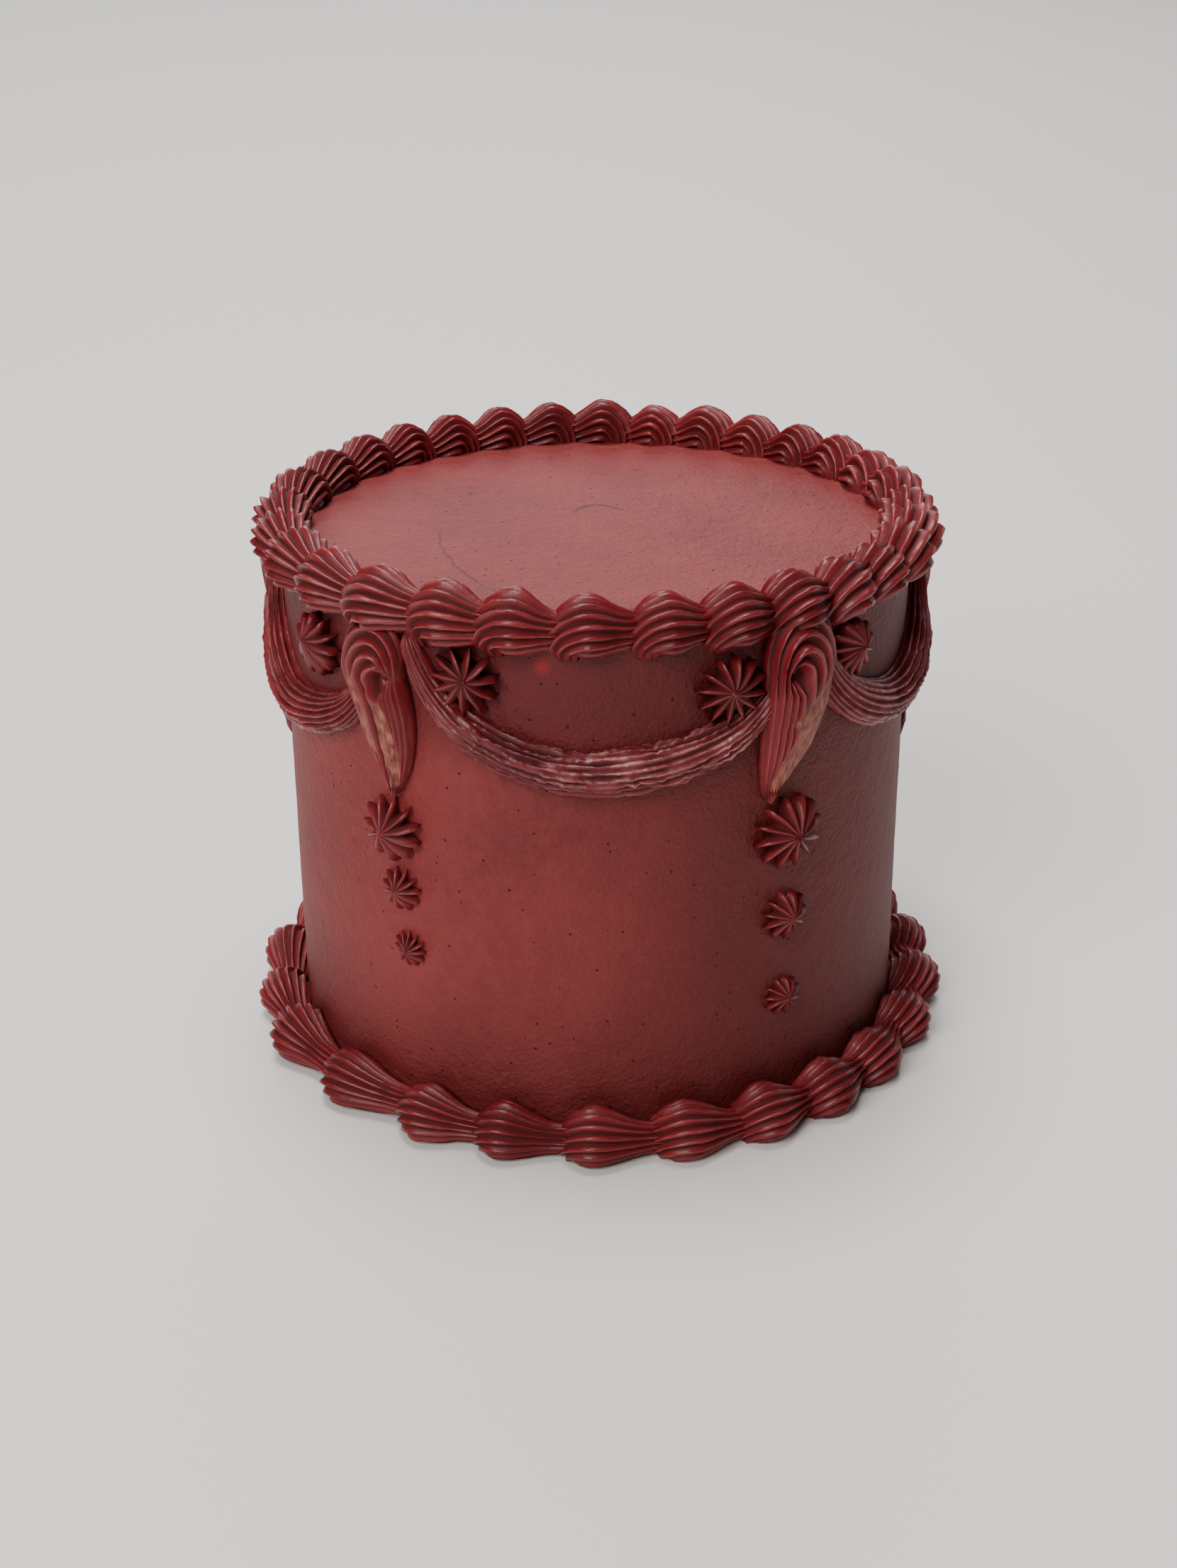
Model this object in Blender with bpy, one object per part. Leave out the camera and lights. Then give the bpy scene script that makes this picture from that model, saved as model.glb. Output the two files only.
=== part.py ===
"""A small round lambeth cake with piped shell borders, swags, drops and stars.

Blender 4.5, metres, +Z up. The cake stands on z = 0 with its axis on the Z axis,
and azimuth 0 faces -Y, growing towards +X. Run it with
blender --background --python part.py, or from the text editor.
"""
import math
import random
from collections import namedtuple

import bmesh
import bpy
from mathutils import Vector

MM = 0.001

# The iced cake.
CAKE_RADIUS = 82.4 * MM
CAKE_HEIGHT = 138.5 * MM
CAKE_EDGE = 2.0 * MM
CAKE_SIDES = 60
PIECE_GAP = 0.4 * MM
SCRAP_SIZE = 0.01 * MM

# The nozzle's star, which every piped ridge comes from.
NOZZLE_TEETH = 11
GROOVE_DEPTH = 0.26

# The border piped astride the top edge: where its tube's middle runs, how far the tube
# leans outwards, its half width, and its half height as a share of that.
Ring = namedtuple("Ring", "radius height lean tube flat teeth head corner seed")
TOP_RING = Ring(radius=82.2 * MM, height=141.3 * MM, lean=math.radians(25.0), tube=8.3 * MM,
                flat=0.87, teeth=(-3.5, 3.5), head=((122, 30, 0.98), (100, 15, 1.05), (80, 5, 1.02)),
                corner=CAKE_HEIGHT + PIECE_GAP, seed=11)
# From each azimuth on, so many shells follow before the next one (degrees).
TOP_SHELLS = ((-44.8, 1), (-30.4, 1), (-17.9, 1), (-6.7, 1), (6.8, 1), (19.1, 1), (30.5, 1),
              (42.3, 9), (142, 9), (239, 6))

# The border piped into the corner between the cake and what it stands on.
BASE_RING = Ring(radius=88.8 * MM, height=6.1 * MM, lean=math.radians(40.0), tube=7.5 * MM,
                 flat=1.0, teeth=(-2.5, 3.5), head=((118, 28, 1.0), (86, 8, 1.03)),
                 corner=0.0, seed=23)
BASE_SHELLS = ((-56.4, 1), (-35.4, 1), (-21.3, 1), (-7.1, 1), (8.4, 1), (23.1, 1), (37.2, 1),
               (49.8, 9), (180, 8))

# One shell, in tube radii. Its head turns over a heel that it pivots on: each head ring
# has its angle at the crest, how much more at the flanks, and its size.
HEAD_SQUASH = 0.8
HEEL = 0.40
TAIL_REACH = 0.30
TAIL_MIDDLE = 0.86
TAIL_END = 0.62
TAIL_SINK = 0.55

# The five drops with their stars: azimuth, height of the head's middle, how far the tip
# leans to the right (mm) and the pit's place across the head; the column's azimuth, the
# height of its top star (mm), its step down (mm), drift (degrees) and scale; how far off
# the stars beside the drop are (degrees), if there are any.
Drop = namedtuple("Drop", "place azimuth head lean pit column top step drift scale left right")
DROPS = (
    Drop("front_left", -39.0, 123.6, 5.4, 0.45, -37.6, 82.2, 16.5, 1.3, 0.94, 17.8, 16.5),
    Drop("front_right", 34.8, 127.0, -8.0, 0.05, 34.1, 82.0, 23.3, 0.0, 1.06, 12.9, 14.4),
    Drop("right", 102.0, 124.5, 1.0, -0.20, 101.5, 78.6, 17.3, -1.2, 1.0, None, 15.5),
    Drop("back", 179.0, 125.5, -2.0, 0.30, 178.0, 81.0, 19.0, 0.5, 0.97, 15.5, 16.0),
    Drop("left", 258.0, 124.0, 3.5, -0.30, 259.5, 82.5, 20.5, -0.7, 1.03, 16.0, None),
)
DROP_TIP = 92.6 * MM
DROP_HEAD = 10.6 * MM
DROP_HEIGHT = 12.5 * MM
DROP_NOD = 4.5 * MM
# The drop's sides end under the border, and its brow stands in front of it.
DROP_CEILING = 132.3 * MM
DROP_BROW = 138.5 * MM
DROP_ARC = 250.0
DROP_ARC_STEPS = 8
DROP_WAIST = 1.6 * MM
# Rings of a drop, from its back over its rim: spread from the spine, and height.
DROP_LEVELS = ((0.15, 0.0), (1.0, 0.0), (0.90, 0.52), (0.77, 0.50), (0.64, 0.84), (0.51, 0.72),
               (0.38, 1.0), (0.20, 0.78))

# The five swags, from left to right: how far each end stays off its drop (degrees), and
# how far it rises (mm).
SWAGS = (("front", 7.5, 4.0, 26.0, 20.0), ("right", 2.5, 11.5, 19.0, 27.0),
         ("back_right", 6.0, 3.0, 25.0, 19.0), ("back_left", 3.5, 6.0, 21.0, 26.0),
         ("left", 16.5, 2.0, 27.0, 15.0))
SWAG_LOW = 103.7 * MM
SWAG_HOOK = 0.35
SWAG_HALF_WIDTH = 6.4 * MM
SWAG_HEIGHT = 7.3 * MM
# A swag's flat backs are chords of the round wall, so they stand off it a little more.
SWAG_BACK = 0.2 * MM
SWAG_GROOVE = 0.82
SWAG_RIDGES = 5
SWAG_STEPS = 10

# Stars: radius (mm) and arms of the three in a column, and of those beside the drops.
COLUMN_STARS = (("large", 9.4, 12), ("middle", 6.3, 10), ("small", 5.3, 9))
SIDE_STAR = (9.2, 11)
SIDE_STAR_HEIGHT = 123.6 * MM
STAR_RISE = 0.80
STAR_VALLEY = 0.6
STAR_WAIST = (0.38, 0.88)

ICING = (0.145, 0.022, 0.020)
PIPING = (0.120, 0.015, 0.015)


def clear_scene():
    for item in list(bpy.data.objects):
        bpy.data.objects.remove(item, do_unlink=True)


def new_collection(name):
    made = bpy.data.collections.new(name)
    bpy.context.scene.collection.children.link(made)
    return made


def buttercream(name, colour, roughness):
    material = bpy.data.materials.new(name)
    material.use_nodes = True
    shader = material.node_tree.nodes["Principled BSDF"]
    shader.inputs["Base Color"].default_value = (*colour, 1.0)
    shader.inputs["Roughness"].default_value = roughness
    shader.inputs["Metallic"].default_value = 0.0
    return material


def place(azimuth, radius, height):
    """The point at an azimuth in degrees, a distance from the axis and a height."""
    turn = math.radians(azimuth)
    return Vector((radius * math.sin(turn), -radius * math.cos(turn), height))


def object_from(name, bm, collection):
    bmesh.ops.recalc_face_normals(bm, faces=bm.faces)
    mesh = bpy.data.meshes.new(name)
    bm.to_mesh(mesh)
    bm.free()
    made = bpy.data.objects.new(name, mesh)
    collection.objects.link(made)
    return made


def loft(name, rings, collection, start=None, end=None, closed=False):
    """A skin through rings of equal count: a closed one, or each end a point or a cap."""
    bm = bmesh.new()
    loops = [[bm.verts.new(point) for point in ring] for ring in rings]
    for before, after in zip(loops, loops[1:] + loops[:closed]):
        for index in range(len(before)):
            following = (index + 1) % len(before)
            bm.faces.new((before[index], before[following], after[following], after[index]))
    for loop, tip in () if closed else ((loops[0], start), (loops[-1], end)):
        if tip is None:
            bm.faces.new(loop)
            continue
        apex = bm.verts.new(tip)
        for index in range(len(loop)):
            bm.faces.new((loop[index], loop[(index + 1) % len(loop)], apex))
    bmesh.ops.triangulate(bm, faces=[face for face in bm.faces if len(face.verts) == 4])
    return object_from(name, bm, collection)


def cut(target, cutter):
    """Takes the cutter's volume out of the target's own mesh."""
    modifier = target.modifiers.new("Cut", "BOOLEAN")
    modifier.operation = "DIFFERENCE"
    modifier.object = cutter
    bpy.context.view_layer.update()
    graph = bpy.context.evaluated_depsgraph_get()
    mesh = bpy.data.meshes.new_from_object(target.evaluated_get(graph))
    target.modifiers.clear()
    spent = target.data
    target.data = mesh
    bpy.data.meshes.remove(spent)


def keep_largest(target):
    """Drops the scraps that a cut leaves: only the biggest closed skin stays."""
    bm = bmesh.new()
    bm.from_mesh(target.data)
    bmesh.ops.remove_doubles(bm, verts=bm.verts, dist=SCRAP_SIZE)
    bmesh.ops.dissolve_degenerate(bm, dist=SCRAP_SIZE, edges=bm.edges)
    left = set(bm.faces)
    skins = []
    while left:
        skin = {left.pop()}
        front = list(skin)
        while front:
            for edge in front.pop().edges:
                for face in edge.link_faces:
                    if face in left:
                        left.remove(face)
                        skin.add(face)
                        front.append(face)
        skins.append(skin)
    skins.sort(key=len)
    spare = [face for skin in skins[:-1] for face in skin]
    bmesh.ops.delete(bm, geom=spare, context="FACES")
    bm.to_mesh(target.data)
    bm.free()


def cake_body(name, collection):
    """The straight sided cake, its top edge eased."""
    bm = bmesh.new()
    bmesh.ops.create_cone(bm, cap_ends=True, segments=CAKE_SIDES, depth=CAKE_HEIGHT,
                          radius1=CAKE_RADIUS, radius2=CAKE_RADIUS)
    bmesh.ops.translate(bm, verts=bm.verts, vec=(0.0, 0.0, CAKE_HEIGHT / 2))
    rim = [edge for edge in bm.edges if all(vert.co.z > CAKE_HEIGHT / 2 for vert in edge.verts)]
    bmesh.ops.bevel(bm, geom=rim, offset=CAKE_EDGE, segments=1, affect="EDGES", profile=0.5)
    return object_from(name, bm, collection)


def star_section(teeth):
    """Angles and reaches of a nozzle's star, with its teeth from one step to another."""
    pitch = math.tau / NOZZLE_TEETH
    first, last = teeth
    section = [((first - 0.5) * pitch, 1.0 - GROOVE_DEPTH)]
    for tooth in range(int(last - first) + 1):
        section.append(((first + tooth) * pitch, 1.0))
        section.append(((first + tooth + 0.5) * pitch, 1.0 - GROOVE_DEPTH))
    return section


def tail_ring(tube, size, section, along):
    """A ring of the tail, which sinks as it thins; along gives its place at an angle."""
    radius = size * tube
    middle = tube - (tube - radius) * TAIL_SINK
    return [(along(around), middle + radius * reach * math.cos(around),
             radius * reach * math.sin(around)) for around, reach in section]


def head_ring(tube, crest, flank, size, section):
    """A ring of the head, on a plane that turns about the heel."""
    radius = size * tube
    ring = []
    for around, reach in section:
        turn = math.radians(crest + flank * (1.0 - math.cos(around)))
        lift = radius * (1.0 + reach * math.cos(around))
        ahead = lift * math.cos(turn)
        if ahead < 0.0:
            ahead *= HEAD_SQUASH
        ring.append((ahead, lift * math.sin(turn), radius * reach * math.sin(around)))
    return ring


def shell_rings(tube, head, length, section):
    """Rings of one shell as (along, out, across), from the crease it starts in."""
    def crease(around):
        return -tube * HEAD_SQUASH * (0.85 + 0.40 * math.cos(around))

    yield tail_ring(tube, TAIL_END, section, crease)
    for crest, flank, size in head:
        yield head_ring(tube, crest, flank, size, section)
    yield tail_ring(tube, TAIL_MIDDLE, section, lambda around: length * TAIL_REACH)


def outside_cake(point):
    """The point, or where it comes out of the cake or the floor if it is inside."""
    wall = CAKE_RADIUS + PIECE_GAP
    top = CAKE_HEIGHT + PIECE_GAP
    radius = math.hypot(point.x, point.y)
    if radius < wall and point.z < top:
        if wall - radius < top - point.z:
            point = Vector((point.x * wall / radius, point.y * wall / radius, point.z))
        else:
            point = Vector((point.x, point.y, top))
    return Vector((point.x, point.y, max(point.z, 0.0)))


def placed_ring(points, azimuth, yaw, ring):
    """A shell's points in the world, its heel at an azimuth on a leaning border."""
    turn = math.radians(azimuth)
    outward = Vector((math.sin(turn), -math.cos(turn), 0.0))
    around = Vector((math.cos(turn), math.sin(turn), 0.0))
    upward = Vector((0.0, 0.0, 1.0))
    out = outward * math.sin(ring.lean) + upward * math.cos(ring.lean)
    aside = outward * math.cos(ring.lean) - upward * math.sin(ring.lean)
    along = around * math.cos(yaw) - aside * math.sin(yaw)
    across = aside * math.cos(yaw) + around * math.sin(yaw)
    heel = outward * ring.radius + upward * ring.height - out * (ring.tube * ring.flat)
    placed = []
    for ahead, lift, side in points:
        bend = ahead * ahead / (2 * ring.radius)
        point = heel + along * ahead + out * (lift * ring.flat) + across * side - outward * bend
        placed.append(outside_cake(point))
    return placed


def with_corner(points, height):
    """The ring closed by the corner that it is piped into, at the cake's wall."""
    middle = points[0] + points[-1]
    azimuth = math.degrees(math.atan2(middle.x, -middle.y))
    return points + [place(azimuth, CAKE_RADIUS + PIECE_GAP, height)]


def shell_azimuths(spans):
    """Each shell's head and its pitch, evenly spaced between the given azimuths."""
    starts = [span[0] for span in spans] + [spans[0][0] + 360]
    for (start, count), after in zip(spans, starts[1:]):
        pitch = (after - start) / count
        for index in range(count):
            yield start + index * pitch, pitch


def shell_border(name, spans, ring, collection):
    """A whole ring of shells as one skin: each head rises from the tail before it."""
    rng = random.Random(ring.seed)
    section = star_section(ring.teeth)
    rings = []
    for azimuth, pitch in shell_azimuths(spans):
        length = ring.radius * math.radians(pitch)
        tube = ring.tube * rng.uniform(0.96, 1.04)
        yaw = math.radians(rng.uniform(-1.0, 6.0))
        for points in shell_rings(tube, ring.head, length, section):
            placed = placed_ring(points, azimuth + pitch * HEEL, yaw, ring)
            rings.append(with_corner(placed, ring.corner))
    return loft(name, rings, collection, closed=True)


def wall_loft(name, centre, rings, collection, start=None, end=None):
    """A loft given as (right, up, out) on the wall, unrolled about an azimuth."""
    def spot(point):
        right, up, out = point
        azimuth = centre + math.degrees(right / CAKE_RADIUS)
        return place(azimuth, CAKE_RADIUS + PIECE_GAP + out, up)
    return loft(name, [[spot(point) for point in ring] for ring in rings], collection,
                start and spot(start), end and spot(end))


def star(name, azimuth, height, radius, arms, waist, collection):
    """A piped star: ridges that run up from the wall to a point."""
    rise = radius * STAR_RISE
    rings = []
    for lift, spread in ((0.0, 1.0), STAR_WAIST)[:1 + waist]:
        ring = []
        for index in range(arms * 2):
            turn = math.pi * index / arms
            reach = radius * spread * (STAR_VALLEY if index % 2 else 1.0)
            ring.append((reach * math.sin(turn), height + reach * math.cos(turn), lift * rise))
        rings.append(ring)
    return wall_loft(name, azimuth, rings, collection, (0.0, height, 0.0), (0.0, height, rise))


def swag(name, start, end, rises, collection):
    """A hanging rope of parallel ridges between two azimuths, lowest in the middle."""
    reach = math.radians(end - start) / 2 * CAKE_RADIUS
    rings = []
    for step in range(SWAG_STEPS + 1):
        share = 2.0 * step / SWAG_STEPS - 1.0
        rise = rises[share > 0] * MM
        up = SWAG_LOW + rise * ((1.0 - SWAG_HOOK) * share ** 2 + SWAG_HOOK * share ** 8)
        slope = rise * (2.0 * (1.0 - SWAG_HOOK) * share + 8.0 * SWAG_HOOK * share ** 7)
        tilt = math.atan2(slope, reach)
        half = SWAG_HALF_WIDTH * (1.0 - 0.25 * share * share)
        section = []
        for index in range(2 * SWAG_RIDGES + 1):
            turn = math.pi * (index / (2 * SWAG_RIDGES) - 0.5)
            crest = SWAG_GROOVE if index % 2 else 1.0
            out = SWAG_BACK + SWAG_HEIGHT * math.cos(turn) * crest
            section.append((half * math.sin(turn), out))
        rings.append([(share * reach - aside * math.sin(tilt), up + aside * math.cos(tilt), out)
                      for aside, out in section])
    return wall_loft(name, (start + end) / 2, rings, collection)


def drop_edge(row):
    """The drop's edge as (point, share of the way down its spine), and its two ends."""
    head = Vector((0.0, row.head * MM))
    tip = Vector((row.lean * MM, DROP_TIP))
    waist = Vector((DROP_WAIST, 0.0))
    edge = []
    for step in range(DROP_ARC_STEPS + 1):
        turn = math.radians(90.0 + DROP_ARC * (step / DROP_ARC_STEPS - 0.5))
        edge.append((head + DROP_HEAD * Vector((math.cos(turn), math.sin(turn))), 0.0))
    right, left = edge[0][0], edge[-1][0]
    for share in (0.35, 0.68):
        edge.append((left.lerp(tip, share) + waist, share))
    edge.append((tip, 1.0))
    for share in (0.68, 0.35):
        edge.append((right.lerp(tip, share) - waist, share))
    return head, tip, edge


def drop(row, collection):
    """A shell piped down the wall: arched ridges round a pit, closing to a point."""
    head, tip, edge = drop_edge(row)
    pit = head + DROP_HEAD * Vector((row.pit, -0.15))
    rings = []
    for spread, lift in DROP_LEVELS:
        ring = []
        for point, share in edge:
            spine = pit.lerp(tip, share * 0.9)
            spot = spine.lerp(point, spread)
            up = spot.y + DROP_NOD * lift * (1.0 - share)
            ceiling = DROP_BROW if lift > 0.6 else DROP_CEILING
            ring.append((spot.x, min(up, ceiling), DROP_HEIGHT * lift * (1.0 - 0.6 * share)))
        rings.append(ring)
    return wall_loft("drop_" + row.place, row.azimuth, rings, collection)


def grown_copy(source, margin, collection):
    """A copy of a piece with its skin moved out, to cut its neighbours clear of it."""
    copy = bpy.data.objects.new(source.name + "_clearance", source.data.copy())
    collection.objects.link(copy)
    for vert in copy.data.vertices:
        vert.co = vert.co + vert.normal * margin
    return copy


def clear_of(target, others, collection):
    """Cuts a piece back from the pieces that were piped over it."""
    for other in others:
        grown = grown_copy(other, 1.5 * PIECE_GAP, collection)
        cut(target, grown)
        bpy.data.objects.remove(grown, do_unlink=True)
    keep_largest(target)


def column_stars(row, collection):
    """The three stars under a drop, each smaller than the one above it."""
    for order, (label, radius, arms) in enumerate(COLUMN_STARS):
        star(f"column_star_{row.place}_{label}", row.column + row.drift * order,
             (row.top - row.step * order) * MM, radius * row.scale * MM, arms, order == 0,
             collection)


def side_stars(row, own_drop, collection):
    """The stars beside a drop, cut clear of it where it was piped over them."""
    radius, arms = SIDE_STAR
    made = []
    for side, turn, way in (("left", row.left, -1.0), ("right", row.right, 1.0)):
        if turn is None:
            continue
        piece = star(f"side_star_{row.place}_{side}", row.azimuth + way * turn,
                     SIDE_STAR_HEIGHT, radius * MM, arms, True, collection)
        clear_of(piece, [own_drop], collection)
        made.append(piece)
    return made


def swags_between(drops, stars, collection):
    """A swag from each drop to the next, cut clear of all that was piped over it."""
    azimuths = [row.azimuth for row in DROPS] + [DROPS[0].azimuth + 360.0]
    for index, (place_name, left, right, *rises) in enumerate(SWAGS):
        made = swag("swag_" + place_name, azimuths[index] + left, azimuths[index + 1] - right,
                    rises, collection)
        after = (index + 1) % len(DROPS)
        over = [drops[index], drops[after]] + stars[index] + stars[after]
        clear_of(made, over, collection)


def build():
    clear_scene()
    cake = new_collection("lambeth_cake")
    body = cake_body("cake_body", cake)
    shell_border("top_shell_border", TOP_SHELLS, TOP_RING, cake)
    shell_border("base_shell_border", BASE_SHELLS, BASE_RING, cake)
    drops = [drop(row, cake) for row in DROPS]
    stars = [side_stars(row, own, cake) for row, own in zip(DROPS, drops)]
    for row in DROPS:
        column_stars(row, cake)
    swags_between(drops, stars, cake)

    piping = buttercream("piped_icing", PIPING, 0.45)
    for piece in cake.objects:
        piece.data.materials.clear()
        piece.data.materials.append(piping)
    body.data.materials[0] = buttercream("smooth_icing", ICING, 0.55)


build()
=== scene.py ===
"""Dresses the round lambeth cake: smooth dark red buttercream, shell borders piped round
its top and its base, swags between drops, and stars beside and under them.

Metres, +Z up. The cake stands on z = 0 with its axis on the Z axis. Azimuths are in
degrees: 0 faces -Y, and they grow towards +X. What is piped is modelled flat on the
bench, as a practice piece, and then laid on the cake.
"""
import math
import random
from collections import namedtuple
from contextlib import contextmanager

import bmesh
import bpy
from mathutils import Matrix, Vector, noise


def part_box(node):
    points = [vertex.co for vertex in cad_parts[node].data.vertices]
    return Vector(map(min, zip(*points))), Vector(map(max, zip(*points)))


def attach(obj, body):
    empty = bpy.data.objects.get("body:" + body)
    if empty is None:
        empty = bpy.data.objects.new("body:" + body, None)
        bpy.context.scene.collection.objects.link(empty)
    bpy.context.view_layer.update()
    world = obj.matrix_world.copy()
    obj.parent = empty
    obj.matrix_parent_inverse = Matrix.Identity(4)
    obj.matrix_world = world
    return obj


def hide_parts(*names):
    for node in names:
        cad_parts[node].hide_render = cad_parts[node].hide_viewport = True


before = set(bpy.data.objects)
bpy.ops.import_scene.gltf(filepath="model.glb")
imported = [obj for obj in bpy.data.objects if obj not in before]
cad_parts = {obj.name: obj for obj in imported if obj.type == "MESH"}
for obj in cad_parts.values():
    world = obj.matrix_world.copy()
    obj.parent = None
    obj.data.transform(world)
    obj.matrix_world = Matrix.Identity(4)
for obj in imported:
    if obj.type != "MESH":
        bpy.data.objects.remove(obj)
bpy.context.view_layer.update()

MM = 0.001
# Points nearer to each other than this are one.
WELD = 0.02 * MM

# ---- driving dimensions

BODY_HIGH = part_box("cake_body")[1]
CAKE_RADIUS = BODY_HIGH[0]
CAKE_HEIGHT = BODY_HIGH[2]
CAKE_EDGE = 2.0 * MM
EDGE_STEPS = 4

# A nozzle's star: its teeth, the points that draw one, how deep its grooves are in its own
# radius, and how fat its ridges are (under 1 thin with wide grooves, over 1 round and fat).
Nozzle = namedtuple("Nozzle", "teeth points depth fatness")
CRISP = Nozzle(16, 6, 0.25, 0.82)
SOFT = Nozzle(12, 6, 0.29, 1.25)

# A border's line round the cake: its radius and height, how far it leans out, the shells'
# own radius, and how flat they lie.
Ring = namedtuple("Ring", "radius height lean tube flat")
TOP_RING = Ring(82.2 * MM, 141.3 * MM, math.radians(25.0), 8.3 * MM, 0.87)
BASE_RING = Ring(88.8 * MM, 6.1 * MM, math.radians(40.0), 7.5 * MM, 1.0)

# From each azimuth on, so many shells follow before the next one (degrees).
TOP_SHELLS = ((-44.8, 1), (-30.4, 1), (-17.9, 1), (-6.7, 1), (6.8, 1), (19.1, 1), (30.5, 1),
              (42.3, 9), (142, 9), (239, 6))
BASE_SHELLS = ((-56.4, 1), (-35.4, 1), (-21.3, 1), (-7.1, 1), (8.4, 1), (23.1, 1), (37.2, 1),
               (49.8, 9), (180, 8))
# How far into its pitch a shell's heel sits, and the pitch that a master shell suits.
SHELL_HEEL = 0.40
SHELL_PITCH = 18.0 * MM
TOP_SEED, BASE_SEED, STAR_SEED = 11, 23, 5

# The skin's unevenness: the grain of the noise and how far it moves the skin.
Rough = namedtuple("Rough", "grain strength")
SHELL_SLUMP = Rough(6.0 * MM, 0.9 * MM)
SHELL_DRAG = Rough(1.6 * MM, 0.22 * MM)
STAR_SLUMP = Rough(3.0 * MM, 0.5 * MM)
DROP_SLUMP = Rough(5.0 * MM, 0.7 * MM)
DROP_DRAG = Rough(1.4 * MM, 0.2 * MM)
SWAG_SLUMP = Rough(7.0 * MM, 1.2 * MM)
SWAG_CRUMBS = Rough(0.9 * MM, 0.35 * MM)
SPATULA_WAVES = Rough(40.0 * MM, 0.7 * MM)
SPATULA_RIPPLES = Rough(9.0 * MM, 0.16 * MM)

# ---- small helpers


def clamped(value):
    """A value kept between 0 and 1."""
    return min(1.0, max(0.0, value))


def activate(piece):
    bpy.ops.object.select_all(action="DESELECT")
    piece.select_set(True)
    bpy.context.view_layer.objects.active = piece


@contextmanager
def editing(piece):
    """Edit mode on one piece, all of it selected, and back to object mode at the end."""
    activate(piece)
    bpy.ops.object.mode_set(mode="EDIT")
    bpy.ops.mesh.select_all(action="SELECT")
    yield
    bpy.ops.object.mode_set(mode="OBJECT")


def select_points(piece, wanted):
    """In edit mode, selects only the points that wanted(index, place) accepts."""
    bpy.ops.mesh.select_all(action="DESELECT")
    bm = bmesh.from_edit_mesh(piece.data)
    for vert in bm.verts:
        vert.select_set(bool(wanted(vert.index, vert.co)))
    bm.select_flush(True)
    bmesh.update_edit_mesh(piece.data)


def new_object(name, data):
    made = bpy.data.objects.new(name, data)
    bpy.context.scene.collection.objects.link(made)
    return made


def remove(pieces):
    for piece in pieces:
        bpy.data.objects.remove(piece, do_unlink=True)


def join(name, parts):
    """Joins the parts into one piece of that name."""
    activate(parts[0])
    for part in parts[1:]:
        part.select_set(True)
    bpy.ops.object.join()
    parts[0].name = name
    return parts[0]


def reshape(piece, moved):
    """Puts every point of a piece where moved(place) says."""
    for vert in piece.data.vertices:
        vert.co = moved(vert.co)
    piece.data.update()


def stand(piece):
    """Lifts what sank below the cake's foot back up to it."""
    reshape(piece, lambda place: Vector((place.x, place.y, max(0.0, place.z))))


def on_cake(azimuth, radius, height):
    """A place by its azimuth, its distance from the cake's axis, and its height."""
    turn = math.radians(azimuth)
    return Vector((radius * math.sin(turn), -radius * math.cos(turn), height))


def onto_wall(piece, azimuth, height):
    """Lays a flat piece on the cake's wall: x runs round it, -y stands out, z is up."""
    def moved(spot):
        around = azimuth + math.degrees(spot.x / CAKE_RADIUS)
        return on_cake(around, CAKE_RADIUS - spot.y, height + spot.z)
    reshape(piece, moved)


def onto_ring(piece, ring, azimuth, yaw, stretch, size):
    """Lays a flat shell on a border: x runs along it, +y is its inner side, z stands out."""
    twist = Matrix.Rotation(yaw, 3, "Z")

    def moved(spot):
        along = spot.x * stretch if spot.x > 0 else spot.x
        spot = twist @ Vector((along, spot.y, spot.z)) * size
        lift = (spot.z - ring.tube) * ring.flat
        radius = ring.radius - spot.y * math.cos(ring.lean) + lift * math.sin(ring.lean)
        height = ring.height + spot.y * math.sin(ring.lean) + lift * math.cos(ring.lean)
        return on_cake(azimuth + math.degrees(spot.x / ring.radius), radius, max(height, 0.0))
    reshape(piece, moved)


def roughen(piece, name, rough):
    """Pushes the skin in and out by soft noise."""
    texture = bpy.data.textures.new(name, "CLOUDS")
    texture.noise_scale = rough.grain
    texture.noise_depth = 2
    activate(piece)
    modifier = piece.modifiers.new(name, "DISPLACE")
    modifier.texture = texture
    modifier.texture_coords = "LOCAL"
    modifier.strength = rough.strength
    modifier.mid_level = 0.5
    bpy.ops.object.modifier_apply(modifier=modifier.name)


def finish_piece(piece, material, slot, *nodes):
    """Shades a piece, gives it its material, hangs it under the root and hides the solids that it
    takes the place of.
    """
    activate(piece)
    bpy.ops.object.shade_smooth()
    piece.data.materials.clear()
    piece.data.materials.append(material)
    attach(piece, "root")
    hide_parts(*nodes)


# ---- the nozzle and its strokes


def ridge_drop(share, fatness):
    """How far into a groove a point is, from 0 on a crest to 1, at a share of half a tooth."""
    return ((1.0 - math.cos(math.pi * share)) / 2) ** fatness


def tooth_profile(nozzle):
    """The reach of each point of one tooth, from its crest round to the next one."""
    shares = [1.0 - abs(1.0 - 2.0 * index / nozzle.points) for index in range(nozzle.points)]
    return [1.0 - nozzle.depth * ridge_drop(share, nozzle.fatness) for share in shares]


def resize(grow, about):
    """Resizes what is selected about a point, evenly or axis by axis."""
    grow = (grow,) * 3 if isinstance(grow, float) else grow
    bpy.ops.transform.resize(value=grow, center_override=about)


def rotate(turn, about):
    """Turns what is selected about a point, from +x towards +z."""
    bpy.ops.transform.rotate(value=turn, orient_axis="Y", center_override=about)


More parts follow.
